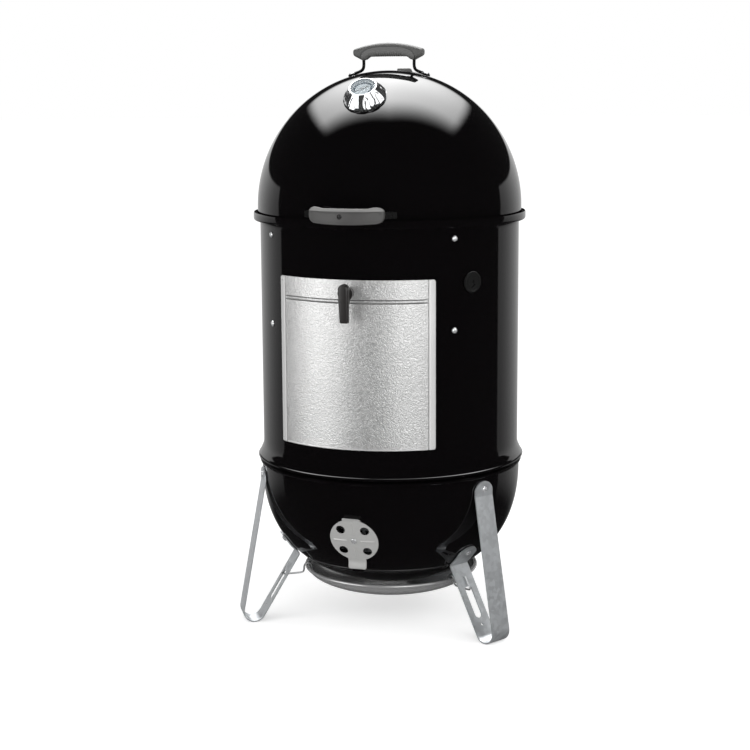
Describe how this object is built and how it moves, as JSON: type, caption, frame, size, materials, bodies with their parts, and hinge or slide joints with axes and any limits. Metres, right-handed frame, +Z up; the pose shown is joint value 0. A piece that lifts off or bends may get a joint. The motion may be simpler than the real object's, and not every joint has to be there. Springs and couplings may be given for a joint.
{
  "type": "vertical water smoker",
  "caption": "Upright charcoal water smoker: domed lid, straight chamber with fuel door, kettle bowl on strap legs, with grates, water pan and charcoal ring inside.",
  "frame": {"origin": "on the floor, on the vertical axis of the body", "axes": "+Z up; -Y is the front, where the fuel door, the thermometer and the rim grip are; +X is the right of someone who faces the front"},
  "size_m": [0.6084, 0.6586, 1.241],
  "materials": {
    "black_enamel": "glossy porcelain enamel",
    "galvanised_steel": "satin zinc",
    "aluminium_sheet": "embossed mill finish",
    "chrome": "polished",
    "bolt_steel": "bright zinc",
    "steel_wire": "plated",
    "black_steel": "black coating",
    "grey_nylon": "fine moulded texture",
    "black_nylon": "fine moulded texture",
    "black_silicone": "matt",
    "white_dial": "printed",
    "clear_glass": "polished"
  },
  "bodies": {
    "base": {"bowl": "black_enamel", "heat_shield": "aluminium_sheet", "left_leg": "galvanised_steel", "right_leg": "galvanised_steel", "rear_leg": "galvanised_steel", "left_leg_upper_bolt": "bolt_steel", "right_leg_upper_bolt": "bolt_steel", "rear_leg_upper_bolt": "bolt_steel", "left_leg_lower_bolt": "bolt_steel", "right_leg_lower_bolt": "bolt_steel", "rear_leg_lower_bolt": "bolt_steel", "left_shield_hook": "steel_wire", "right_shield_hook": "steel_wire", "rear_shield_hook": "steel_wire", "front_damper_rivet": "bolt_steel", "right_damper_rivet": "bolt_steel", "left_damper_rivet": "bolt_steel"},
    "front_vent": {"front_damper": "aluminium_sheet"},
    "right_vent": {"right_damper": "aluminium_sheet"},
    "left_vent": {"left_damper": "aluminium_sheet"},
    "fire_grate": {"charcoal_grate": "steel_wire"},
    "fire_ring": {"charcoal_ring": "galvanised_steel"},
    "middle": {"center_section": "black_enamel", "probe_grommet": "black_silicone", "grill_strap_1": "galvanised_steel", "grill_strap_2": "galvanised_steel", "grill_strap_3": "galvanised_steel", "grill_strap_4": "galvanised_steel", "upper_strap_bolt_1": "bolt_steel", "upper_strap_bolt_2": "bolt_steel", "upper_strap_bolt_3": "bolt_steel", "upper_strap_bolt_4": "bolt_steel", "lower_strap_bolt_1": "bolt_steel", "lower_strap_bolt_2": "bolt_steel", "lower_strap_bolt_3": "bolt_steel", "lower_strap_bolt_4": "bolt_steel"},
    "upper_grate": {"upper_cooking_grate": "chrome"},
    "lower_grate": {"lower_cooking_grate": "chrome"},
    "pan": {"water_pan": "black_enamel"},
    "door": {"door_panel": "aluminium_sheet"},
    "latch": {"latch_handle": "black_nylon", "latch_spindle": "bolt_steel", "latch_catch": "galvanised_steel"},
    "lid_assembly": {"lid": "black_enamel", "handle_bracket": "black_steel", "handle_grip": "grey_nylon", "left_handle_bolt": "bolt_steel", "right_handle_bolt": "bolt_steel", "lid_damper_rivet": "bolt_steel", "thermometer_case": "chrome", "thermometer_dial": "white_dial", "thermometer_lens": "clear_glass", "thermometer_probe": "bolt_steel", "thermometer_nut": "bolt_steel", "rim_grip": "grey_nylon", "rim_grip_bracket": "black_steel", "rim_grip_screw": "bolt_steel"},
    "lid_vent": {"lid_damper": "aluminium_sheet"},
    "needle": {"thermometer_pointer": "black_nylon"}
  },
  "joints": [
    {"name": "center_lift", "type": "slide", "parent": "base", "child": "middle", "axis": [0, 0, 1], "range_m": [0, 0.3]},
    {"name": "lid_lift", "type": "slide", "parent": "middle", "child": "lid_assembly", "axis": [0, 0, 1], "range_m": [0, 0.35]},
    {"name": "front_damper_turn", "type": "hinge", "parent": "base", "child": "front_vent", "pos_m": [0, -0.26107, 0.226], "axis": [0, -0.9244, -0.3813], "range_deg": [-45, 45]},
    {"name": "right_damper_turn", "type": "hinge", "parent": "base", "child": "right_vent", "pos_m": [0.22609, 0.13054, 0.226], "axis": [0.8006, 0.4622, -0.3813], "range_deg": [-45, 45]},
    {"name": "left_damper_turn", "type": "hinge", "parent": "base", "child": "left_vent", "pos_m": [-0.22609, 0.13054, 0.226], "axis": [-0.8006, 0.4622, -0.3813], "range_deg": [-45, 45]},
    {"name": "lid_damper_turn", "type": "hinge", "parent": "lid_assembly", "child": "lid_vent", "pos_m": [0.03591, 0.09867, 1.16351], "axis": [0.1285, 0.3531, 0.9267], "range_deg": [-45, 45]},
    {"name": "charcoal_grate_lift", "type": "slide", "parent": "base", "child": "fire_grate", "axis": [0, 0, 1], "range_m": [0, 0.13]},
    {"name": "charcoal_ring_lift", "type": "slide", "parent": "fire_grate", "child": "fire_ring", "axis": [0, 0, 1], "range_m": [0, 0.13]},
    {"name": "water_pan_lift", "type": "slide", "parent": "middle", "child": "pan", "axis": [0, 0, 1], "range_m": [0, 0.045]},
    {"name": "lower_grate_lift", "type": "slide", "parent": "middle", "child": "lower_grate", "axis": [0, 0, 1], "range_m": [0, 0.036]},
    {"name": "upper_grate_lift", "type": "slide", "parent": "middle", "child": "upper_grate", "axis": [0, 0, 1], "range_m": [0, 0.125]},
    {"name": "door_tilt", "type": "hinge", "parent": "middle", "child": "door", "pos_m": [0, -0.2815, 0.421], "axis": [1, 0, 0], "range_deg": [0, 75]},
    {"name": "latch_turn", "type": "hinge", "parent": "door", "child": "latch", "pos_m": [0, -0.28, 0.744], "axis": [0, -1, 0], "range_deg": [-90, 90]},
    {"name": "needle_turn", "type": "hinge", "parent": "lid_assembly", "child": "needle", "pos_m": [0, -0.167, 1.12865], "axis": [0, -0.5963, 0.8028], "range_deg": [-250, 0]}
  ]
}
